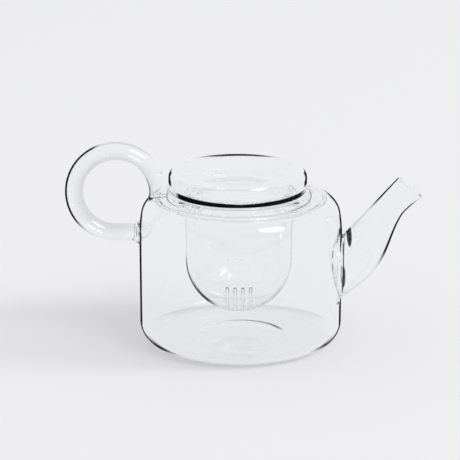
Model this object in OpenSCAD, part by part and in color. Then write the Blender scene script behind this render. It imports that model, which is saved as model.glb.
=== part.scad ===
// Glass teapot with a ring handle, a tapering spout, a lift-out infuser and a hollow lid.
// Millimetres, +Z up, the pot stands on Z = 0 with its axis on X = Y = 0; the spout points to +X.

/* [Pot body] */
// Outer diameter of the straight wall
body_d = 121; // [100:1:150]
// Glass thickness of the pot wall
wall = 1.8; // [1.4:0.1:3]
// Height at which the wall starts to lean in
straight_h = 65; // [50:1:90]
// Radius of the rounded foot
foot_r = 12; // [6:0.1:16]
// Radius of the slow inward lean above the straight wall
lean_r = 80; // [60:1:120]
// Angle of the lean where the shoulder starts
lean_deg = 10; // [5:1:15]
// Radius of the rounded shoulder
shoulder_r = 12; // [8:0.5:16]
// Diameter of the push-up under the base
punt_d = 54; // [40:1:70]
// Height of the push-up at the middle
punt_h = 4; // [2:0.5:8]

/* [Neck and seat] */
// Width of the bead between the crest of the shoulder and the sunken seat
bead_w = 3; // [2.4:0.1:5]
// Depth of the seat below the crest of the shoulder
seat_drop = 2.2; // [1.5:0.1:3]
// Thickness of the seat ring
seat_t = 2; // [1.6:0.1:3]
// Radial clearance between neck and infuser
neck_gap = 1.5; // [0.5:0.1:3]

/* [Spout] */
// Height of the middle of the spout root
root_z = 44.2; // [40:0.1:48]
// Outer diameter of the spout root
root_d = 35.6; // [30:0.1:40]
// Reach of the mouth from the pot wall to its upper edge
mouth_reach = 32.6; // [25:0.1:40]
// Height of the upper edge of the mouth
mouth_z = 99.3; // [90:0.1:104]
// Length of the mouth from upper to lower edge
mouth_w = 14.3; // [12:0.1:18]
// Drop of the mouth from upper to lower edge
mouth_drop = 11.4; // [8:0.1:14]
// Pull of the lower curve at the root
belly_pull = 39; // [30:0.5:45]
// Slope of the lower curve at the root
belly_deg = 27; // [20:1:35]
// Pull of the lower curve below the lip
neck_pull = 28; // [20:0.5:34]
// Slope of the lower curve below the lip
neck_deg = 49; // [42:1:60]
// How far the pouring lip is turned out
lip_out = 5.6; // [2:0.1:8]
// Slope of the turned-out lip
lip_deg = 21; // [10:1:35]
// Glass thickness of the spout
spout_t = 1.6; // [1.2:0.1:2.4]

/* [Handle] */
// Radius of the handle ring at the middle of its tube
ring_r = 25; // [20:0.5:30]
// Outer diameter of the handle tube
tube_d = 10.8; // [8:0.2:13]
// Glass thickness of the handle tube
tube_t = 1.5; // [1:0.1:2.5]
// Distance of the ring centre from the pot wall
ring_out = 13.5; // [10:0.5:18]
// Height of the ring centre above the crest of the shoulder
ring_up = 2.1; // [0:0.1:4]
// Diameter of the flared weld at the lower end
weld_d = 14; // [11:0.5:18]

/* [Infuser] */
// Outer diameter of the infuser cup
cup_d = 63.5; // [50:0.5:70]
// Glass thickness of the infuser cup
cup_t = 1.7; // [1.2:0.1:2.5]
// Depth of the cup from its rim to the centre of the round bottom
cup_straight = 41.6; // [30:0.1:50]
// Clearance round the cup rim in its seat
rim_gap = 1.2; // [0.6:0.1:3]
// Thickness of the cup rim
rim_t = 5; // [2.6:0.1:6]
// Number of slots in the round bottom
slot_n = 4; // [2:1:6]
// Distance between slots
slot_pitch = 4.6; // [3:0.1:8]
// Width of a slot
slot_w = 1; // [0.6:0.1:2]
// Height of the slot ends below the centre of the round bottom
slot_low = 9.6; // [6:0.1:16]

/* [Lid] */
// How far the lid's edge stays inside the edge of the cup rim
lid_in = 2.2; // [0:0.1:5]
// Height of the hollow lid above the infuser rim
lid_h = 13.4; // [12:0.1:24]
// Radius of the lid's upper edge
lid_round = 4.7; // [3:0.1:6]
// Radius of the lid's lower edge
lid_foot = 2.4; // [2.2:0.1:4]
// Glass thickness of the lid
lid_t = 1.8; // [1.2:0.1:2.6]
// Radial clearance between lid collar and infuser
collar_gap = 0.8; // [0.4:0.1:2]
// Depth of the lid collar inside the infuser
collar_h = 7; // [4:0.5:14]

/* [Hidden] */
$fn = 96;
body_r = body_d / 2;
foot_c = body_r - foot_r;
shoulder_c = body_r - lean_r + (lean_r - shoulder_r) * cos(lean_deg);
shoulder_z = straight_h + (lean_r - shoulder_r) * sin(lean_deg);
crest_z = shoulder_z + shoulder_r;
seat_z = crest_z - seat_drop;
seat_r = shoulder_c - bead_w;
rim_r = seat_r - rim_gap;
lid_r = rim_r - lid_in;
cup_r = cup_d / 2;
neck_r = cup_r + neck_gap;
past = 2 * shoulder_r;
punt_r = ((punt_d / 2) * (punt_d / 2) + punt_h * punt_h) / (2 * punt_h);
rim_z = seat_z + rim_t;
cup_z = rim_z - cup_straight;
lid_z = rim_z + lid_h;
collar_r = cup_r - cup_t - collar_gap;
ring_x = -(body_r + ring_out);
ring_z = crest_z + ring_up;
tube_r = tube_d / 2;
weld_len = 6;
bite = 3;
root_step = 0.2;
root_x = body_r - wall / 2;

// ---- pot body ---------------------------------------------------------------------------

// Half section of the pot, filled, with every surface set in by d
module pot_outline(d) {
    lean_top = (lean_r - d) * sin(lean_deg);
    translate([foot_c, foot_r]) circle(r = foot_r - d);
    translate([0, d]) square([foot_c, foot_r - d]);
    translate([0, foot_r]) square([body_r - d, straight_h - foot_r]);
    intersection() {
        translate([body_r - lean_r, straight_h]) circle(r = lean_r - d);
        translate([0, straight_h]) square([body_r, lean_top]);
    }
    translate([shoulder_c, shoulder_z]) circle(r = shoulder_r - d);
    translate([0, straight_h + lean_top]) square([shoulder_c, crest_z - d - straight_h - lean_top]);
}

// Half section of the room inside the pot
module pot_room() {
    difference() {
        pot_outline(wall);
        translate([0, seat_z - seat_t]) square([shoulder_c, past]);
        translate([0, punt_h - punt_r]) circle(r = punt_r + wall);
    }
}

module pot_body() {
    color([0.86, 0.93, 0.95])
    difference() {
        rotate_extrude() difference() {
            pot_outline(0);
            pot_room();
            translate([0, punt_h - punt_r]) circle(r = punt_r);
            translate([0, seat_z - 2 * seat_t]) square([neck_r, past]);
            translate([0, seat_z]) square([seat_r, past]);
        }
        // opening into the spout
        translate([body_r - shoulder_r, 0, root_z]) rotate([0, 90, 0])
            cylinder(h = past, r = root_d / 2 - spout_t - root_step);
    }
}

// ---- spout ------------------------------------------------------------------------------

spout_rings = 22;
spout_segs = 48;

function bez(a, b, c, d, t) =
    a * pow(1 - t, 3) + 3 * b * pow(1 - t, 2) * t + 3 * c * (1 - t) * t * t + d * pow(t, 3);

// Upper and lower outline of the spout in the XZ plane, t from root to mouth
lip_from = 0.86;
saddle_to = 0.4;
up_0 = [root_x, root_z + root_d / 2];
up_1 = [body_r + mouth_reach, mouth_z];
low_0 = [root_x, root_z - root_d / 2];
low_1 = [up_1[0] + mouth_w, mouth_z - mouth_drop];
low_end = low_1 - lip_out * [cos(lip_deg), sin(lip_deg)];
low_a = low_0 + belly_pull * [cos(belly_deg), sin(belly_deg)];
low_b = low_end - neck_pull * [cos(neck_deg), sin(neck_deg)];

function lip(t) = t < lip_from ? 0 : pow((t - lip_from) / (1 - lip_from), 1.6);
function upper(t) = up_0 + (up_1 - up_0) * t;
function lower(t) = bez(low_0, low_a, low_b, low_end, t) + lip(t) * (low_1 - low_end);
function saddle(y, t) =
    t > saddle_to ? 0 : pow(1 - t / saddle_to, 2) * (sqrt(root_x * root_x - y * y) - root_x);

// One point of the spout: t along it, s from the middle (0) to the outside (1), a around it
function spout_point(t, inset, push, a) =
    let (u = upper(t), l = lower(t), m = (u + l) / 2, r = norm(u - l) / 2 - inset)
    let (v = (u - l) / norm(u - l), n = [v[1], -v[0]], y = r * sin(a))
    [m[0] + v[0] * r * cos(a) + n[0] * push + saddle(y, t), y, m[1] + v[1] * r * cos(a) + n[1] * push];

module spout() {
    k = spout_rings;
    s = spout_segs;
    rows = 2 * k + 3;
    outer = [for (i = [0 : k]) for (j = [0 : s - 1]) spout_point(i / k, 0, 0, 360 * j / s)];
    edge = [for (j = [0 : s - 1]) spout_point(1, spout_t / 2, spout_t / 2, 360 * j / s)];
    inner = [for (i = [k : -1 : 0]) for (j = [0 : s - 1]) spout_point(i / k, spout_t, 0, 360 * j / s)];
    faces = [for (i = [0 : rows - 1]) for (j = [0 : s - 1]) for (h = [0, 1])
        let (p = i * s, q = ((i + 1) % rows) * s, n = (j + 1) % s)
        h == 0 ? [p + j, q + j, q + n] : [p + j, q + n, p + n]];
    color([0.80, 0.90, 0.94])
    polyhedron(points = concat(outer, edge, inner), faces = faces, convexity = 6);
}

// ---- handle -----------------------------------------------------------------------------

// Ring with a straight end down to the shoulder and one across to the wall, solid with radius r
module handle_core(r) {
    translate([ring_x, 0, ring_z]) rotate([90, 0, 0]) rotate_extrude(angle = 270)
        translate([ring_r, 0]) circle(r = r);
    translate([ring_x + ring_r, 0, crest_z - 2 * bite]) cylinder(h = ring_up + 2 * bite, r = r);
    translate([ring_x, 0, ring_z - ring_r]) rotate([0, 90, 0]) cylinder(h = ring_out + bite, r = r);
}

module handle() {
    color([0.82, 0.91, 0.93])
    difference() {
        union() {
            handle_core(tube_r);
            translate([-body_r - weld_len, 0, ring_z - ring_r]) rotate([0, 90, 0])
                cylinder(h = weld_len + bite, r1 = tube_r, r2 = weld_d / 2 + 1);
        }
        handle_core(tube_r - tube_t);
        rotate_extrude() pot_outline(wall / 2);
    }
}

// ---- infuser ----------------------------------------------------------------------------

module infuser() {
    color([0.88, 0.95, 0.90])
    difference() {
        rotate_extrude() difference() {
            union() {
                intersection() {
                    translate([0, cup_z]) circle(r = cup_r);
                    translate([0, cup_z - cup_r]) square([cup_r, cup_r]);
                }
                translate([0, cup_z]) square([cup_r, cup_straight]);
                translate([0, seat_z]) square([rim_r - rim_t / 2, rim_t]);
                translate([rim_r - rim_t / 2, seat_z + rim_t / 2]) circle(r = rim_t / 2);
            }
            intersection() {
                translate([0, cup_z]) circle(r = cup_r - cup_t);
                translate([0, cup_z - cup_r]) square([cup_r, cup_r]);
            }
            translate([0, cup_z]) square([cup_r - cup_t, 2 * cup_straight]);
        }
        for (i = [0 : slot_n - 1])
            translate([(i - (slot_n - 1) / 2) * slot_pitch, 0, cup_z - cup_r])
                translate([-slot_w / 2, -cup_r, -1]) cube([slot_w, cup_d, cup_r - slot_low + 1]);
    }
}

// ---- lid --------------------------------------------------------------------------------

// Half section of the round-edged lid, filled, with every surface set in by d
module lid_outline(d) {
    translate([lid_r - lid_round, lid_z - lid_round]) circle(r = lid_round - d);
    translate([lid_r - lid_foot, rim_z + lid_foot]) circle(r = lid_foot - d);
    translate([0, rim_z + d]) square([lid_r - lid_round, lid_h - 2 * d]);
    translate([0, rim_z + d]) square([lid_r - lid_foot, lid_foot]);
    translate([0, rim_z + lid_foot]) square([lid_r - d, lid_h - lid_foot - lid_round]);
}

module lid() {
    color([0.90, 0.93, 0.97])
    rotate_extrude() difference() {
        union() {
            lid_outline(0);
            translate([0, rim_z - collar_h]) square([collar_r, collar_h + 1]);
        }
        lid_outline(lid_t);
        translate([0, rim_z - collar_h - 1]) square([collar_r - lid_t, collar_h + 4]);
    }
}

pot_body();
spout();
handle();
infuser();
lid();
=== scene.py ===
# Glass teapot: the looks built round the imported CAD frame. Sizes in millimetres until a mesh is made.
import bpy
import bmesh
import math
from mathutils import Matrix, Vector


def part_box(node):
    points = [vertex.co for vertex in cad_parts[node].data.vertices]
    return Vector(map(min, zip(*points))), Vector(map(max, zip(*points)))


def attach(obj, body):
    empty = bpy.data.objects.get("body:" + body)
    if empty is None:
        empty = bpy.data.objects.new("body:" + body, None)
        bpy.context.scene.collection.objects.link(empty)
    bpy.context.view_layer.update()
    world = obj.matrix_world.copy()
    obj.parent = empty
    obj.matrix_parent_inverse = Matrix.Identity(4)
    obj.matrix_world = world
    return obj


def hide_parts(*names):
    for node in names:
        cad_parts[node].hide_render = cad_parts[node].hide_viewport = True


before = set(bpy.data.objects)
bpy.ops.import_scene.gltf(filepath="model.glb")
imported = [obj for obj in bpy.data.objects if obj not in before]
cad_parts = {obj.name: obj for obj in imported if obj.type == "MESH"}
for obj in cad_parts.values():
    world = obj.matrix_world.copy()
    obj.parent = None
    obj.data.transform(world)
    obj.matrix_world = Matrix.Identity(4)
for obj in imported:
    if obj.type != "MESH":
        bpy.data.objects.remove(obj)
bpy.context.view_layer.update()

MM = 0.001
scene = bpy.context.scene
scene.view_settings.view_transform = "Standard"


# ---------------------------------------------------------------- sizes, as in the CAD source
def of_box(node, hi, axis):
    """One coordinate of a CAD node's box: its low (0) or high (1) corner along an axis."""
    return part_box(node)[hi][axis] / MM


BODY_R = 60.5
WALL = 1.8
FOOT_R = 12.0
STRAIGHT_H = 65.0
LEAN_R = 80.0
LEAN_DEG = 10
SHOULDER_R = 12.0
SHOULDER_C = BODY_R - LEAN_R + (LEAN_R - SHOULDER_R) * math.cos(math.radians(LEAN_DEG))
SHOULDER_Z = STRAIGHT_H + (LEAN_R - SHOULDER_R) * math.sin(math.radians(LEAN_DEG))
CREST_Z = of_box("pot_body", 1, 2)
BEAD_W = 3.0
SEAT_DROP = 2.2
SEAT_Z = CREST_Z - SEAT_DROP
SEAT_R = SHOULDER_C - BEAD_W
SEAT_T = 2.0
PUNT_R = 27.0
PUNT_H = 4.0
PUNT_S = (PUNT_R ** 2 + PUNT_H ** 2) / (2 * PUNT_H)

CUP_R = 31.75
CUP_T = 1.7
CUP_Z = of_box("infuser", 0, 2) + CUP_R
NECK_GAP = 1.5
NECK_R = CUP_R + NECK_GAP
RIM_R = of_box("infuser", 1, 0)
RIM_T = 5.0
RIM_Z = SEAT_Z + RIM_T
SLOT_N = 4
SLOT_PITCH = 4.6
SLOT_W = 1.0
SLOT_TOP = CUP_Z - 9.6

LID_R = of_box("lid", 1, 0)
LID_TOP = of_box("lid", 1, 2)
LID_T = 1.8
LID_ROUND = 4.7
LID_FOOT = 2.4
LID_C = LID_R - LID_ROUND
LID_DISH = 0.5
COLLAR_LOW = of_box("lid", 0, 2)
COLLAR_GAP = 0.8
COLLAR_R = CUP_R - CUP_T - COLLAR_GAP

RING_R = 25.0
TUBE_R = 5.4
TUBE_IN = 3.9
RING_OUT = 13.5
RING_UP = 2.1
RING_X = -BODY_R - RING_OUT
RING_Z = CREST_Z + RING_UP

ROOT_X = BODY_R - WALL / 2
ROOT_Z = 44.2
ROOT_D = 35.6
MOUTH_REACH = 32.6
MOUTH_Z = 99.3
MOUTH_W = 14.3
MOUTH_DROP = 11.4
BELLY_PULL = 39
BELLY_DEG = 27
THROAT_PULL = 28
THROAT_DEG = 49
LIP_OUT = 5.6
LIP_DEG = 21
LIP_FROM = 0.86
SADDLE_TO = 0.4
SPOUT_T = 1.6

# GAP is the air between glass that rests on glass. The shifts move the loose pieces off the pot's axis, towards
# where the photograph has them. The infuser stays within its play in the seat, the lid within its play in the cup.
GAP = 0.06
SHIFT_CUP = -1.1
SHIFT_LID = -1.8


# ---------------------------------------------------------------- curves and meshes
def arc(cx, cz, r, a0, a1, n):
    """n steps along a circle from angle a0 to a1, in degrees."""
    return [(cx + r * math.cos(math.radians(a0 + (a1 - a0) * i / n)),
             cz + r * math.sin(math.radians(a0 + (a1 - a0) * i / n))) for i in range(n + 1)]


def line(p, q, n=4, ends=0.4):
    """Points from p to q with a support point close to each end."""
    d = math.dist(p, q)
    ts = [0, min(0.3, ends / d)] + [i / n for i in range(1, n)] + [1 - min(0.3, ends / d), 1]
    return [(p[0] + (q[0] - p[0]) * t, p[1] + (q[1] - p[1]) * t) for t in sorted(ts)]


def bezier(a, b, c, d, n):
    """n steps along a cubic curve from a to d."""
    out = []
    for i in range(n + 1):
        t = i / n
        w = ((1 - t) ** 3, 3 * (1 - t) ** 2 * t, 3 * (1 - t) * t * t, t ** 3)
        out.append(tuple(sum(k * p[j] for k, p in zip(w, (a, b, c, d))) for j in (0, 1)))
    return out


def joined(*parts):
    """One path from several, without repeated points."""
    out = []
    for part in parts:
        for p in part:
            if not out or math.dist(out[-1], p) > 1e-4:
                out.append(p)
    return out


def finish_mesh(name, bm):
    """An object in the scene from a bmesh, its normals outward."""
    bmesh.ops.recalc_face_normals(bm, faces=bm.faces)
    mesh = bpy.data.meshes.new(name)
    bm.to_mesh(mesh)
    bm.free()
    ob = bpy.data.objects.new(name, mesh)
    scene.collection.objects.link(ob)
    return ob


def four_slots(ob):
    """Four empty material places. The booleans keep each face's number, and the real materials come later."""
    for name in ("slot_0", "slot_1", "slot_2", "slot_3"):
        ob.data.materials.append(bpy.data.materials.get(name) or bpy.data.materials.new(name))


def lathe(name, path, inner_from, segs=192):
    """A closed solid of revolution from a path of (radius, height) that starts and ends on the axis.
    From the path's point inner_from on, its faces are on the inside and take the second material."""
    bm = bmesh.new()
    rows = []
    for r, z in path:
        if r < 1e-4:
            rows.append([bm.verts.new((0, 0, z * MM))])
        else:
            rows.append([bm.verts.new((r * MM * math.cos(math.tau * j / segs),
                                       r * MM * math.sin(math.tau * j / segs), z * MM))
                         for j in range(segs)])
    for i, (a, b) in enumerate(zip(rows, rows[1:])):
        for j in range(segs):
            k = (j + 1) % segs
            if len(a) == 1:
                face = bm.faces.new((a[0], b[j], b[k]))
            elif len(b) == 1:
                face = bm.faces.new((a[j], b[0], a[k]))
            else:
                face = bm.faces.new((a[j], b[j], b[k], a[k]))
            face.material_index = 1 if i >= inner_from else 0
    return finish_mesh(name, bm)


def rings_mesh(name, rings, inner_from, outer=2):
    """A closed tube wall. Its rings run along the outside and, from ring inner_from on, back inside."""
    bm = bmesh.new()
    rows = [[bm.verts.new((x * MM, y * MM, z * MM)) for x, y, z in ring] for ring in rings]
    n = len(rows[0])
    for i, a in enumerate(rows):
        b = rows[(i + 1) % len(rows)]
        for j in range(n):
            k = (j + 1) % n
            bm.faces.new((a[j], b[j], b[k], a[k])).material_index = 1 if i >= inner_from else outer
    return finish_mesh(name, bm)


def boolean(ob, other, operation):
    """Joins other to ob or cuts it out, and deletes other."""
    mod = ob.modifiers.new("join", "BOOLEAN")
    mod.object = other
    mod.operation = operation
    mod.solver = "MANIFOLD"
    dg = bpy.context.evaluated_depsgraph_get()
    mesh = bpy.data.meshes.new_from_object(ob.evaluated_get(dg))
    ob.modifiers.clear()
    ob.data = mesh
    bpy.data.objects.remove(other)


def smooth(ob, angle=40):
    """Smooth faces, with a sharp edge where they meet at more than the angle."""
    for p in ob.data.polygons:
        p.use_smooth = True
    ob.data.set_sharp_from_angle(angle=math.radians(angle))


# ---------------------------------------------------------------- pot, spout and handle, one fused glass
def pot_path():
    """Half a section of the pot: under the base, up the outside, over the shoulder, round the neck and back
    down the inside."""
    dome_c = PUNT_H - PUNT_S
    edge = math.degrees(math.atan2(-dome_c, PUNT_R))
    foot_c = BODY_R - FOOT_R
    lean_c = BODY_R - LEAN_R
    wall_in = BODY_R - WALL
    crest_in = SEAT_R + 0.7
    cut = math.degrees(math.acos((crest_in - SHOULDER_C) / SHOULDER_R))
    cut_z = SHOULDER_Z + SHOULDER_R * math.sin(math.radians(cut))
    low = SEAT_Z - SEAT_T
    inner = 70
    join = arc(SHOULDER_C, SHOULDER_Z, SHOULDER_R - WALL, inner, LEAN_DEG, 12)
    join_x, join_z = join[0]
    tx, tz = math.sin(math.radians(inner)), -math.cos(math.radians(inner))
    dome_in = PUNT_S + WALL
    dome_r = PUNT_R - 1.8
    return joined(
        arc(0, dome_c, PUNT_S, 90, edge + 0.9, 12),
        bezier((PUNT_R - 1.4, 0.42), (PUNT_R - 0.4, 0.11), (PUNT_R + 0.4, 0), (PUNT_R + 1.6, 0), 5),
        line((PUNT_R + 1.6, 0), (foot_c, 0)),
        arc(foot_c, FOOT_R, FOOT_R, -90, 0, 24),
        line((BODY_R, FOOT_R), (BODY_R, STRAIGHT_H)),
        arc(lean_c, STRAIGHT_H, LEAN_R, 0, LEAN_DEG, 10),
        arc(SHOULDER_C, SHOULDER_Z, SHOULDER_R, LEAN_DEG, cut, 26),
        bezier((crest_in, cut_z), (SEAT_R + 0.2, cut_z - 0.05),
               (SEAT_R, cut_z - 0.3), (SEAT_R, cut_z - 0.7), 6),
        bezier((SEAT_R, SEAT_Z + 0.7), (SEAT_R, SEAT_Z + 0.25),
               (SEAT_R - 0.25, SEAT_Z), (SEAT_R - 0.8, SEAT_Z), 6),
        line((SEAT_R - 0.8, SEAT_Z), (NECK_R + 1, SEAT_Z)),
        arc(NECK_R + 1, SEAT_Z - 1, 1, 90, 270, 12),
        line((NECK_R + 1, low), (SEAT_R + 0.4, low)),
        bezier((SEAT_R + 0.4, low), (SEAT_R + 3.2, low),
               (join_x - 1.6 * tx, join_z - 1.6 * tz), (join_x, join_z), 10),
        join,
        arc(lean_c, STRAIGHT_H, LEAN_R - WALL, LEAN_DEG, 0, 10),
        line((wall_in, STRAIGHT_H), (wall_in, FOOT_R)),
        arc(foot_c, FOOT_R, FOOT_R - WALL, 0, -90, 20),
        line((foot_c, WALL), (PUNT_R + 2.2, WALL)),
        bezier((PUNT_R + 2.2, WALL), (PUNT_R + 0.8, WALL),
               (PUNT_R - 0.4, WALL + 0.3), (dome_r, WALL + 0.77), 5),
        arc(0, dome_c, dome_in, math.degrees(math.acos(dome_r / dome_in)), 90, 12),
    )


def heading(deg):
    """A step of length 1 in the plane of the profile."""
    return Vector((math.cos(math.radians(deg)), math.sin(math.radians(deg))))


UP0 = Vector((ROOT_X, ROOT_Z + ROOT_D / 2))
UP1 = Vector((BODY_R + MOUTH_REACH, MOUTH_Z))
LOW0 = Vector((ROOT_X, ROOT_Z - ROOT_D / 2))
LOW1 = Vector((BODY_R + MOUTH_REACH + MOUTH_W, MOUTH_Z - MOUTH_DROP))
LOW_END = LOW1 - LIP_OUT * heading(LIP_DEG)
LOW_A = LOW0 + BELLY_PULL * heading(BELLY_DEG)
LOW_B = LOW_END - THROAT_PULL * heading(THROAT_DEG)


def spout_ring(t, inset, push=0.0, segs=112):
    """The spout's round section at t from root (0) to mouth (1), between its straight upper edge and its curved
    lower one. Near the root it bends back onto the pot's round wall."""
    up = UP0.lerp(UP1, t)
    lip = 0 if t < LIP_FROM else ((t - LIP_FROM) / (1 - LIP_FROM)) ** 1.6
    low = (LOW0 * (1 - t) ** 3 + 3 * LOW_A * (1 - t) ** 2 * t + 3 * LOW_B * (1 - t) * t * t
           + LOW_END * t ** 3 + lip * (LOW1 - LOW_END))
    mid = (up + low) / 2
    r = (up - low).length / 2 - inset
    v = (up - low).normalized()
    n = Vector((v.y, -v.x))
    fade = 0 if t > SADDLE_TO else (1 - t / SADDLE_TO) ** 2
    ring = []
    for j in range(segs):
        a = math.tau * j / segs
        y = r * math.sin(a)
        back = fade * (math.sqrt(ROOT_X ** 2 - y * y) - ROOT_X)
        ring.append((mid.x + v.x * r * math.cos(a) + n.x * push + back, y,
                     mid.y + v.y * r * math.cos(a) + n.y * push))
    return ring


def spout_shell(rows=64, flare=1.5, flare_to=0.09):
    """The spout's wall, thicker at the weld and round at the mouth."""
    def weld(t):
        return flare * max(0, 1 - t / flare_to) ** 2

    half = SPOUT_T / 2
    outside = [spout_ring(i / rows, -weld(i / rows)) for i in range(rows + 1)]
    rim = [spout_ring(1, half * (1 - math.cos(math.radians(a))), half * math.sin(math.radians(a)))
           for a in range(20, 180, 20)]
    inside = [spout_ring(i / rows, SPOUT_T) for i in range(rows, -1, -1)]
    return rings_mesh("spout_shell", outside + rim + inside, len(outside + rim), 2)


def handle_shell(segs=56):
    """The handle's tube: up from the shoulder, three quarters of a ring, and straight into the wall."""
    rise, turns, run = 8, 108, 24
    x_end = -ROOT_X
    foot_z = CREST_Z - 1.2
    weld_from = -66
    steps = [((RING_X + RING_R, foot_z + (RING_Z - CREST_Z + 1.2) * i / rise), 90) for i in range(rise)]
    for i in range(turns + 1):
        a = 270 * i / turns
        steps.append(((RING_X + RING_R * math.cos(math.radians(a)),
                       RING_Z + RING_R * math.sin(math.radians(a))), a + 90))
    steps += [((RING_X + (x_end - RING_X) * i / run, RING_Z - RING_R), 360) for i in range(1, run + 1)]
    last = len(steps) - 1

    def ring(i, inner):
        (x, z), deg = steps[i]
        r = TUBE_IN if inner else TUBE_R
        if not inner:
            if i <= rise:
                r += 0.9 * max(0, 1 - (z - foot_z) / 2.8) ** 2
            if i > last - run:
                r += 2.3 * max(0, (x - weld_from) / (x_end - weld_from)) ** 2.2
        n = heading(deg + 90)
        out = []
        for j in range(segs):
            a = math.tau * j / segs
            px, py, pz = x + n.x * r * math.cos(a), r * math.sin(a), z + n.y * r * math.cos(a)
            if i == 0:
                mid = SHOULDER_R - WALL / 2
                pz = SHOULDER_Z + math.sqrt(mid ** 2 - max(0, math.hypot(px, py) - SHOULDER_C) ** 2)
            if i == last:
                px = -math.sqrt(ROOT_X ** 2 - py * py)
            out.append((px, py, pz))
        return out

    outside = [ring(i, False) for i in range(last + 1)]
    inside = [ring(i, True) for i in range(last, -1, -1)]
    return rings_mesh("handle_shell", outside + inside, len(outside), 3)


def hole_plug():
    """What is taken out of the wall behind the spout."""
    bm = bmesh.new()
    n = 112
    r = ROOT_D / 2 - SPOUT_T - 0.12
    angles = [math.tau * j / n for j in range(n)]
    ends = [[bm.verts.new((x * MM, r * MM * math.sin(a), (ROOT_Z + r * math.cos(a)) * MM)) for a in angles]
            for x in (50, 59.4)]
    faces = [bm.faces.new(ends[0]), bm.faces.new(ends[1])]
    for j in range(n):
        k = (j + 1) % n
        faces.append(bm.faces.new((ends[0][j], ends[1][j], ends[1][k], ends[0][k])))
    for face in faces:
        face.material_index = 1
    return finish_mesh("hole_plug", bm)


pot_line = pot_path()
pot_inner = next(i for i, (r, z) in enumerate(pot_line) if z < SEAT_Z - 1e-3 and r < SEAT_R and i > 60)
pot = lathe("pot_glass", pot_line, pot_inner, 256)
four_slots(pot)
for shell, operation in ((hole_plug(), "DIFFERENCE"), (spout_shell(), "UNION"), (handle_shell(), "UNION")):
    four_slots(shell)
    boolean(pot, shell, operation)
smooth(pot, 50)


# ---------------------------------------------------------------- infuser
def infuser_path():
    """Its rim rests on the seat with a hair of air between the two, as glass on glass does."""
    r_in = CUP_R - CUP_T
    edge = (RIM_T - GAP) / 2
    low = SEAT_Z + GAP
    return joined(
        arc(0, CUP_Z, CUP_R, -90, 0, 40),
        line((CUP_R, CUP_Z), (CUP_R, low - 1.1)),
        bezier((CUP_R, low - 1.1), (CUP_R, low - 0.4), (CUP_R + 0.4, low), (CUP_R + 1.1, low), 6),
        line((CUP_R + 1.1, low), (RIM_R - edge, low)),
        arc(RIM_R - edge, low + edge, edge, -90, 90, 14),
        line((RIM_R - edge, RIM_Z), (r_in + 1.1, RIM_Z)),
        bezier((r_in + 1.1, RIM_Z), (r_in + 0.4, RIM_Z), (r_in, RIM_Z - 0.4), (r_in, RIM_Z - 1.1), 6),
        line((r_in, RIM_Z - 1.1), (r_in, CUP_Z)),
        arc(0, CUP_Z, r_in, 0, -90, 40),
    )


def slot_cutter(x):
    """A straight saw cut across the round bottom at x."""
    bm = bmesh.new()
    w, h = SLOT_W / 2, CUP_R + 1
    vs = [bm.verts.new((sx * w * MM + x * MM, sy * h * MM, z * MM))
          for z in (CUP_Z - CUP_R - 1, SLOT_TOP) for sx, sy in ((-1, -1), (1, -1), (1, 1), (-1, 1))]
    for f in ((3, 2, 1, 0), (4, 5, 6, 7), (0, 1, 5, 4), (1, 2, 6, 5), (2, 3, 7, 6), (3, 0, 4, 7)):
        bm.faces.new([vs[i] for i in f]).material_index = 2
    return finish_mesh("slot_cutter", bm)


infuser_line = infuser_path()
infuser_inner = max(i for i, (r, z) in enumerate(infuser_line) if z > RIM_Z - 1e-3)
infuser = lathe("infuser_glass", infuser_line, infuser_inner, 224)
four_slots(infuser)
for i in range(SLOT_N):
    cutter = slot_cutter((i - (SLOT_N - 1) / 2) * SLOT_PITCH)
    four_slots(cutter)
    boolean(infuser, cutter, "DIFFERENCE")
smooth(infuser)


# ---------------------------------------------------------------- lid
def lid_path():
    """Half a section of the lid: from the middle of its dished top round the edge, down the collar and back
    up the inside."""
    low = RIM_Z + GAP
    r_in = COLLAR_R - LID_T
    half = LID_T / 2
    top = [(r, LID_TOP - LID_DISH * (1 - (r / LID_C) ** 2) ** 2) for r in [LID_C * i / 20 for i in range(21)]]
    under = [(r, z - LID_T) for r, z in top]
    return joined(
        top,
        arc(LID_C, LID_TOP - LID_ROUND, LID_ROUND, 90, 0, 20),
        arc(LID_R - LID_FOOT, low + LID_FOOT, LID_FOOT, 0, -90, 14),
        line((LID_R - LID_FOOT, low), (COLLAR_R + 0.8, low)),
        bezier((COLLAR_R + 0.8, low), (COLLAR_R + 0.3, low), (COLLAR_R, low - 0.3), (COLLAR_R, low - 0.8), 6),
        line((COLLAR_R, low - 0.8), (COLLAR_R, COLLAR_LOW + half)),
        arc(COLLAR_R - half, COLLAR_LOW + half, half, 0, -180, 12),
        line((r_in, COLLAR_LOW + half), (r_in, low + LID_T - 1)),
        bezier((r_in, low + LID_T - 1), (r_in, low + LID_T - 0.4),
               (r_in + 0.4, low + LID_T), (r_in + 1, low + LID_T), 6),
        line((r_in + 1, low + LID_T), (LID_R - LID_FOOT, low + LID_T)),
        arc(LID_R - LID_FOOT, low + LID_FOOT, LID_FOOT - LID_T, -90, 0, 8),
        arc(LID_C, LID_TOP - LID_ROUND, LID_ROUND - LID_T, 0, 90, 14),
        list(reversed(under)),
    )


lid_line = lid_path()
lid_inner = next(i for i, (r, z) in enumerate(lid_line) if i > 40 and r < COLLAR_R - LID_T / 2)
lid = lathe("lid_glass", lid_line, lid_inner, 224)
smooth(lid)


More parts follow.
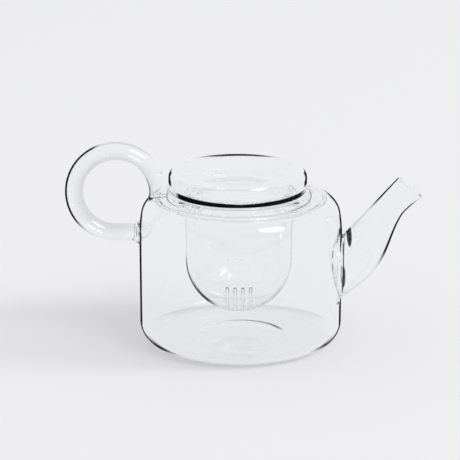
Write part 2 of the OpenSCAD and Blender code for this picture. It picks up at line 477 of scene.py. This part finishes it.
# ---------------------------------------------------------------- glass
class Graph:
    """A node tree, with short ways to write its sums. A term is a number or a socket."""

    def __init__(self, nt):
        self.nt = nt

    def sum_of(self, operation, a, b=None):
        node = self.nt.nodes.new("ShaderNodeMath")
        node.operation = operation
        for i, term in enumerate((a, b)):
            if isinstance(term, (int, float)):
                node.inputs[i].default_value = term
            elif term is not None:
                self.nt.links.new(term, node.inputs[i])
        return node.outputs[0]

    def plus(self, a, b):
        return self.sum_of("ADD", a, b)

    def times(self, a, b):
        return self.sum_of("MULTIPLY", a, b)

    def larger(self, a, b):
        return self.sum_of("MAXIMUM", a, b)

    def size_of(self, a):
        return self.sum_of("ABSOLUTE", a)

    def ramp(self, value, low, high, to_low=0.0, to_high=1.0):
        """A smooth step of value between low and high, which may run either way."""
        node = self.nt.nodes.new("ShaderNodeMapRange")
        node.interpolation_type = "SMOOTHSTEP"
        node.inputs["From Min"].default_value = low
        node.inputs["From Max"].default_value = high
        node.inputs["To Min"].default_value = to_low
        node.inputs["To Max"].default_value = to_high
        self.nt.links.new(value, node.inputs["Value"])
        return node.outputs["Result"]

    def ramp_mm(self, value, low, high, to_low=0.0, to_high=1.0):
        return self.ramp(value, low * MM, high * MM, to_low, to_high)

    def split(self, vector):
        node = self.nt.nodes.new("ShaderNodeSeparateXYZ")
        self.nt.links.new(vector, node.inputs[0])
        return node.outputs

    def mix_shaders(self, share, first, second):
        node = self.nt.nodes.new("ShaderNodeMixShader")
        self.nt.links.new(share, node.inputs[0])
        self.nt.links.new(first, node.inputs[1])
        self.nt.links.new(second, node.inputs[2])
        return node.outputs[0]


class Surface(Graph):
    """What a glass surface can be asked: spot (its place on the piece), turn (its normal), facing (how far from
    face-on it is seen), radius (from the upright axis), from_ring (from the middle of the handle's ring) and
    outside (1 on its outer side)."""

    def __init__(self, nt):
        super().__init__(nt)
        geometry = nt.nodes.new("ShaderNodeNewGeometry")
        self.place = nt.nodes.new("ShaderNodeTexCoord").outputs["Object"]
        self.turn = self.split(geometry.outputs["Normal"])
        self.spot = self.split(self.place)
        self.outside = self.sum_of("SUBTRACT", 1.0, geometry.outputs["Backfacing"])
        view = nt.nodes.new("ShaderNodeLayerWeight")
        view.inputs["Blend"].default_value = 0.5
        self.facing = view.outputs["Facing"]
        self.radius = self.sum_of("SQRT", self.plus(self.times(self.spot["X"], self.spot["X"]),
                                                    self.times(self.spot["Y"], self.spot["Y"])))
        off = nt.nodes.new("ShaderNodeVectorMath")
        off.operation = "DISTANCE"
        off.inputs[1].default_value = (RING_X * MM, 0, RING_Z * MM)
        nt.links.new(self.place, off.inputs[0])
        self.from_ring = off.outputs["Value"]


def glass_material(name, tint, wave, ior=1.47):
    """Clear glass with the slight waves of hand blowing, wave mm deep."""
    mat = bpy.data.materials.new(name)
    mat.use_nodes = True
    nt = mat.node_tree
    shader = nt.nodes["Principled BSDF"]
    shader.inputs["Base Color"].default_value = (*tint, 1)
    shader.inputs["Roughness"].default_value = 0.0
    shader.inputs["IOR"].default_value = ior
    shader.inputs["Transmission Weight"].default_value = 1.0
    place = nt.nodes.new("ShaderNodeTexCoord")
    noise = nt.nodes.new("ShaderNodeTexNoise")
    noise.inputs["Scale"].default_value = 38
    noise.inputs["Detail"].default_value = 1.0
    noise.inputs["Roughness"].default_value = 0.35
    bump = nt.nodes.new("ShaderNodeBump")
    bump.inputs["Strength"].default_value = 1.0
    bump.inputs["Distance"].default_value = wave * MM
    nt.links.new(place.outputs["Object"], noise.inputs["Vector"])
    nt.links.new(noise.outputs["Fac"], bump.inputs["Height"])
    nt.links.new(bump.outputs["Normal"], shader.inputs["Normal"])
    return mat


# The dark lines that follow are painted reflections, refraction and shade, which stand in for the dark
# surroundings of the photograph's set, fitted to its view.
# Each function gives the share of near-black that its line adds. Places are in mm on the piece at rest.
def edge_reflection_line(g, edge, round_edge, sides):
    """A painted dark reflection where a wall is seen edge-on. edge is how far from edge-on the line starts,
    round_edge where the wall turns down.
    sides has (direction, strength, start, full, limits) for faces whose normal has more than start in that
    direction, fully with full. Each limit (axis, low, high) lets the strength grow along an axis, or away from
    the ring's middle."""
    rim = g.ramp(g.facing, 1 - edge, 1 - edge * 0.8)
    if round_edge:
        mix = g.nt.nodes.new("ShaderNodeMix")
        g.nt.links.new(g.ramp(g.turn["Z"], -0.1, -0.6), mix.inputs["Factor"])
        g.nt.links.new(rim, mix.inputs[2])
        g.nt.links.new(g.ramp(g.facing, 1 - round_edge, 1 - round_edge * 0.8), mix.inputs[3])
        rim = mix.outputs[0]
    strength = 0.0
    for direction, dark, start, full, limits in sides:
        sign = -1 if direction[0] == "-" else 1
        term = g.ramp(g.turn[direction[1]], sign * start, sign * full, 0.0, dark)
        for axis, low, high in limits:
            along = g.from_ring if axis == "ring" else g.spot[axis]
            term = g.times(term, g.ramp_mm(along, low, high))
        strength = g.plus(term, strength)
        strength.node.use_clamp = True
    flat = g.ramp(g.size_of(g.turn["Z"]), 0.998, 0.9995, 1.0, 0.0)
    return g.times(g.times(rim, strength), flat)


def front_dark_reflection(g, low, high, dark, reach=None):
    """A slightly ragged painted dark reflection: a band between two heights on the front, thicker away from the
    middle, out to reach.
    """
    noise = g.nt.nodes.new("ShaderNodeTexNoise")
    noise.inputs["Scale"].default_value = 55
    noise.inputs["Detail"].default_value = 1.0
    g.nt.links.new(g.place, noise.inputs["Vector"])
    aside = g.size_of(g.spot["X"])
    ragged = g.times(g.sum_of("SUBTRACT", noise.outputs[0], 0.5), 0.9 * MM)
    level = g.sum_of("SUBTRACT", g.plus(g.spot["Z"], ragged), g.times(aside, 0.045))
    band = g.times(g.ramp_mm(g.spot["Z"], low - 0.2, low), g.ramp_mm(level, high, high + 0.5, 1.0, 0.0))
    band = g.times(band, g.ramp_mm(g.radius, 36, 38))
    if reach:
        band = g.times(band, g.ramp_mm(aside, reach, reach + 3, 1.0, 0.0))
    return g.times(band, g.ramp(g.turn["Y"], -0.1, -0.5, 0.0, dark))


def rear_dark_reflection(g, radius):
    """A painted dark reflection on the rear edge of a flat top, outside the radius, seen at a low angle."""
    rear = g.times(g.ramp_mm(g.radius, radius - 0.3, radius), g.ramp_mm(g.spot["Y"], 26, 34))
    rear = g.times(rear, g.ramp(g.turn["Z"], 0.9, 0.93))
    return g.times(rear, g.ramp(g.facing, 0.66, 0.7))


def floor_refraction_arc(g, low, high, dark):
    """A painted dark refraction: an arc between two radii on the rear of the pot's floor, fading to the left."""
    arc_at = g.times(g.ramp_mm(g.radius, low - 0.5, low + 0.5),
                     g.ramp_mm(g.radius, high - 0.5, high + 0.5, 1.0, 0.0))
    return g.times(arc_at, g.times(g.ramp_mm(g.spot["X"], -12, 4, 0.0, dark), g.ramp_mm(g.spot["Y"], 4, 14)))


def slot_edge_shade(g, half, dark):
    """Painted shade along the slots' edges, out to half from each slot's middle and darkest at the slots' ends."""
    edge_x = 9.0
    along = g.plus(g.spot["X"], (SLOT_PITCH / 2 - SHIFT_CUP) * MM)
    near = g.sum_of("PINGPONG", along, SLOT_PITCH / 2 * MM)
    stripe = g.times(g.ramp_mm(near, half - 0.1, half + 0.1, 1.0, 0.0),
                     g.ramp_mm(g.size_of(g.spot["X"]), edge_x, edge_x + 0.6, 1.0, 0.0))
    stripe = g.times(stripe, g.ramp_mm(g.spot["Z"], SLOT_TOP + 0.4, SLOT_TOP + 0.9, 1.0, 0.0))
    ends = g.larger(g.ramp_mm(g.spot["Z"], SLOT_TOP - 4, SLOT_TOP - 2, 0.3, 1.0),
                    g.ramp_mm(g.spot["Z"], SLOT_TOP - 17, SLOT_TOP - 20, 0.3, 1.0))
    return g.times(g.times(stripe, ends), dark)


def weld_refraction_patch(g, x, z, half_x, half_z, off_middle, dark):
    """A painted dark refraction in the thick glass of a weld, at least off_middle from the middle plane."""
    a = g.sum_of("DIVIDE", g.sum_of("SUBTRACT", g.spot["X"], x * MM), half_x * MM)
    b = g.sum_of("DIVIDE", g.sum_of("SUBTRACT", g.spot["Z"], z * MM), half_z * MM)
    share = g.ramp(g.plus(g.times(a, a), g.times(b, b)), 1.2, 0.6, 0.0, dark)
    if off_middle:
        share = g.times(share, g.ramp_mm(g.size_of(g.spot["Y"]), off_middle - 3, off_middle))
    return share


def ring_shade(g, dark):
    """A broad painted shade on the inner half of the handle's ring."""
    return g.ramp_mm(g.from_ring, 28, 19, 0.0, dark)


def edge_glass(name, tint, wave, edge, sides, round_edge=None, marks=(), ior=1.47):
    """Clear glass whose outer faces mix in a near-black share of painted dark reflection and shade, the largest of
    the edge line's and the marks'.
    Each mark is a function with its numbers."""
    mat = glass_material(name, tint, wave, ior)
    nt = mat.node_tree
    g = Surface(nt)
    share = edge_reflection_line(g, edge, round_edge, sides)
    for draw, *numbers in marks:
        share = g.larger(share, draw(g, *numbers))
    share = g.times(share, g.outside)
    # The near-black shader in which the painted dark reflections, refraction and shade are mixed.
    dark = nt.nodes.new("ShaderNodeBsdfPrincipled")
    dark.inputs["Base Color"].default_value = (0.008, 0.008, 0.009, 1)
    dark.inputs["Roughness"].default_value = 1.0
    dark.inputs["Specular IOR Level"].default_value = 0.0
    both = g.mix_shaders(share, nt.nodes["Principled BSDF"].outputs[0], dark.outputs[0])
    nt.links.new(both, nt.nodes["Material Output"].inputs["Surface"])
    return mat


CLEAR = (0.985, 0.988, 0.99)
# Painted dark reflections along edges that face front and rear.
FRONT_AND_REAR = [("-Y", 0.8, 0.8, 0.95, ()), ("+Y", 0.8, 0.8, 0.95, ())]
# Painted dark refraction in the spout's weld, high and low.
UPPER_WELD_PATCH = (weld_refraction_patch, 64.4, 66.5, 1.5, 6.0, 0, 0.95)
SPINDLE = (weld_refraction_patch, 61.1, 43.0, 0.9, 7.0, 11, 0.9)


def pot_materials():
    """Outside of the wall, inside of the pot, spout, handle and, last, the neck."""
    # The sides draw painted dark reflections along the edges of wall, spout and handle. The marks add painted dark
    # refraction in the welds and on the pot's floor, a painted dark reflection low on the inside and painted shade
    # in the handle's ring.
    above_foot = (("Z", 18, 24),)
    wall = [("-X", 1.0, 0.25, 0.45, above_foot), ("+X", 1.0, 0.3, 0.55, above_foot),
            ("-X", 1.0, 0.4, 0.65, ()), ("+X", 1.0, 0.5, 0.75, ()), ("-Z", 0.12, 0.3, 0.8, ())]
    spout = [("-X", 0.2, 0.2, 0.5, ()), ("-X", 0.8, 0.2, 0.5, (("Z", 80, 88),)),
             ("+X", 0.1, 0.2, 0.5, ()), ("+X", 0.9, 0.2, 0.5, (("Z", 46, 58), ("Z", 88, 84)))]
    outer = ("ring", 24, 26)
    inner = ("ring", 26, 24)
    handle = [("-X", 0.2, 0.25, 0.5, (outer,)), ("-X", 0.8, 0.25, 0.5, (outer, ("Z", 67, 76))),
              ("-X", 0.7, 0.6, 0.9, (inner,)), ("+Z", 0.2, 0.6, 0.9, (outer,))]
    return [
        edge_glass("pot_clear_glass", CLEAR, 0.006, 0.21, wall + FRONT_AND_REAR, 0.38, marks=[SPINDLE]),
        edge_glass("pot_inside_clear_glass", CLEAR, 0.006, 0.05, [],
                   marks=[(front_dark_reflection, 1.5, 2.6, 0.16), (floor_refraction_arc, 24.2, 27.4, 0.8)]),
        edge_glass("spout_clear_glass", CLEAR, 0.004, 0.44, spout + FRONT_AND_REAR,
                   marks=[UPPER_WELD_PATCH, SPINDLE]),
        edge_glass("handle_clear_glass", CLEAR, 0.0, 0.68, handle + FRONT_AND_REAR,
                   marks=[(ring_shade, 0.19)]),
        glass_material("neck_clear_glass", CLEAR, 0.0, 1.12),
    ]


def infuser_materials(inside):
    """Outside of the cup, its inside, the cut faces of the slots and, last, the rim."""
    # The slots' cut faces: slightly rough like ground glass, and tinted dark grey as painted shade.
    cut = glass_material("cut_shaded_glass", (0.45, 0.45, 0.46), 0.0)
    cut.node_tree.nodes["Principled BSDF"].inputs["Roughness"].default_value = 0.15
    # The sides draw painted dark reflections along the edges of cup and rim. The marks add painted shade along the
    # slots and a painted dark reflection on the rim's front.
    cup = [("-X", 0.15, 0.3, 0.8, ()), ("-X", 0.8, 0.35, 0.6, (("Z", 56, 46),)),
           ("+X", 0.2, 0.4, 0.7, ()), ("-Z", 0.12, 0.3, 0.8, ())]
    rim = [("-X", 0.5, 0.3, 0.6, ()), ("+X", 0.5, 0.3, 0.6, ()), ("-Z", 0.35, 0.2, 0.6, ())]
    return [
        edge_glass("infuser_clear_glass", CLEAR, 0.0, 0.24, cup + FRONT_AND_REAR, 0.34,
                   marks=[(slot_edge_shade, 0.85, 0.8)]),
        inside,
        cut,
        edge_glass("rim_clear_glass", CLEAR, 0.0, 0.3, rim + FRONT_AND_REAR, 0.45,
                   marks=[(front_dark_reflection, RIM_Z - 0.6, RIM_Z, 0.2)], ior=1.2),
    ]


def lid_materials(inside):
    """Outside and inside of the lid."""
    # The sides draw painted dark reflections along the lid's edges, and the marks add painted dark reflections on
    # its lower front and its rear top edge.
    above_band = (("Z", 96.5, 98),)
    lid_sides = [("-X", 1.0, 0.55, 0.7, above_band), ("+X", 1.0, 0.55, 0.7, above_band),
                 ("+Z", 1.0, 0.93, 0.95, (("Y", 24, 33),)), ("-Z", 0.2, 0.2, 0.6, ())]
    return [
        edge_glass("lid_clear_glass", CLEAR, 0.004, 0.3, lid_sides + FRONT_AND_REAR, 0.5,
                   marks=[(front_dark_reflection, RIM_Z, RIM_Z + 2.3, 1.0, 36), (rear_dark_reflection, LID_C - 4.2)]),
        inside,
    ]


def dress(piece, body, mats, stands_for, neck_from=math.inf):
    """Gives the piece its materials and its body. Faces of the first two materials that lie above neck_from and
    inside the shoulder take the last one."""
    numbers = [len(mats) - 1 if p.material_index < 2 and p.center.z > neck_from * MM
               and math.hypot(p.center.x, p.center.y) < SHOULDER_C * MM else p.material_index
               for p in piece.data.polygons]
    piece.data.materials.clear()
    for mat in mats:
        piece.data.materials.append(mat)
    for p, number in zip(piece.data.polygons, numbers):
        p.material_index = number
    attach(piece, body)
    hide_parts(*stands_for)


for piece, shift in ((infuser, SHIFT_CUP), (lid, SHIFT_LID)):
    piece.data.transform(Matrix.Translation((shift * MM, 0, 0)))
inside_glass = glass_material("inside_clear_glass", CLEAR, 0.003)
dress(pot, "pot", pot_materials(), ("pot_body", "spout", "handle"), SEAT_Z - SEAT_T - 1)
dress(infuser, "infuser", infuser_materials(inside_glass), ("infuser",), SEAT_Z - 0.5)
dress(lid, "lid", lid_materials(inside_glass), ("lid",))


# ---------------------------------------------------------------- floor and world
PAPER = (0.863, 0.863, 0.879)


def paper(name, colour, own, own_in_glass):
    """Matt paper. Seen directly, a share of its brightness is its own, which keeps the shadow on it soft.
    The share is larger where it is seen through glass or in a reflection."""
    mat = bpy.data.materials.new(name)
    mat.use_nodes = True
    nt = mat.node_tree
    g = Graph(nt)
    matt = nt.nodes["Principled BSDF"]
    matt.inputs["Base Color"].default_value = (*colour, 1)
    matt.inputs["Roughness"].default_value = 1
    matt.inputs["Specular IOR Level"].default_value = 0
    glow = nt.nodes.new("ShaderNodeEmission")
    glow.inputs["Color"].default_value = (*colour, 1)
    glow.inputs["Strength"].default_value = 1.0
    path = nt.nodes.new("ShaderNodeLightPath")
    in_glass = g.larger(path.outputs["Is Glossy Ray"], path.outputs["Is Transmission Ray"])
    share = g.larger(g.times(path.outputs["Is Camera Ray"], own), g.times(in_glass, own_in_glass))
    both = g.mix_shaders(share, matt.outputs[0], glow.outputs[0])
    nt.links.new(both, nt.nodes["Material Output"].inputs["Surface"])
    return mat


def studio(colour, light):
    """A world that lights with white, and shows its colour to the camera, in reflections and in glass."""
    world = bpy.data.worlds.new("studio")
    scene.world = world
    world.use_nodes = True
    nt = world.node_tree
    g = Graph(nt)
    white = nt.nodes["Background"]
    white.inputs["Color"].default_value = (1, 1, 1, 1)
    white.inputs["Strength"].default_value = light
    sweep = nt.nodes.new("ShaderNodeBackground")
    sweep.inputs["Color"].default_value = (*colour, 1)
    sweep.inputs["Strength"].default_value = 1.0
    path = nt.nodes.new("ShaderNodeLightPath")
    seen = g.larger(path.outputs["Is Camera Ray"], path.outputs["Is Glossy Ray"])
    seen = g.larger(seen, path.outputs["Is Transmission Ray"])
    both = g.mix_shaders(seen, white.outputs[0], sweep.outputs[0])
    nt.links.new(both, nt.nodes["World Output"].inputs["Surface"])


floor_bm = bmesh.new()
floor_bm.faces.new([floor_bm.verts.new((x, y, -0.00005)) for x, y in ((-4, -4), (4, -4), (4, 6), (-4, 6))])
floor = finish_mesh("floor", floor_bm)
floor.data.materials.append(paper("floor_paper", PAPER, 0.5, 0.85))
studio(PAPER, 0.6)


# ---------------------------------------------------------------- lamps and camera
def lamp(name, direction, distance, wide_deg, share):
    """A round softbox, wide_deg wide as the teapot sees it, that adds share to the light on a face towards it."""
    data = bpy.data.lights.new(name, "AREA")
    data.shape = "DISK"
    data.size = 2 * distance * math.tan(math.radians(wide_deg / 2))
    data.energy = share * math.pi * distance ** 2 * math.pi
    ob = bpy.data.objects.new(name, data)
    scene.collection.objects.link(ob)
    d = Vector(direction).normalized()
    ob.location = Vector((0, 0, 0.05)) + d * distance
    ob.rotation_mode = "QUATERNION"
    ob.rotation_quaternion = d.to_track_quat("Z", "Y")
    return ob


lamp("key", (0.482, -0.485, 0.728), 12.0, 26, 0.26)
side = lamp("side", (1.0, -0.06, 0.52), 12.0, 24, 0.5)
side.visible_glossy = False
side.visible_transmission = False

SENSOR = 36
PHOTO_W = 460
MM_PER_PIXEL = 0.597
CAMERA_OFF = 1229.6
CAMERA_AIM = Vector((-6.38, 0, 67.4))
CAMERA_UP = math.radians(16.08)
cam_data = bpy.data.cameras.new("camera")
cam_data.sensor_width = SENSOR
cam_data.lens = SENSOR * CAMERA_OFF / MM_PER_PIXEL / PHOTO_W
cam_data.clip_start = 0.05
cam_data.clip_end = 50
cam = bpy.data.objects.new("camera", cam_data)
scene.collection.objects.link(cam)
scene.camera = cam
away = Vector((0, -math.cos(CAMERA_UP), math.sin(CAMERA_UP)))
cam.location = CAMERA_AIM * MM + away * CAMERA_OFF * MM
cam.rotation_mode = "QUATERNION"
cam.rotation_quaternion = away.to_track_quat("Z", "Y")

# Light passes many walls of glass, and paths that are cut short would leave black lines.
GLASS_BOUNCES = 96
scene.cycles.max_bounces = GLASS_BOUNCES
scene.cycles.transmission_bounces = GLASS_BOUNCES
scene.cycles.glossy_bounces = GLASS_BOUNCES
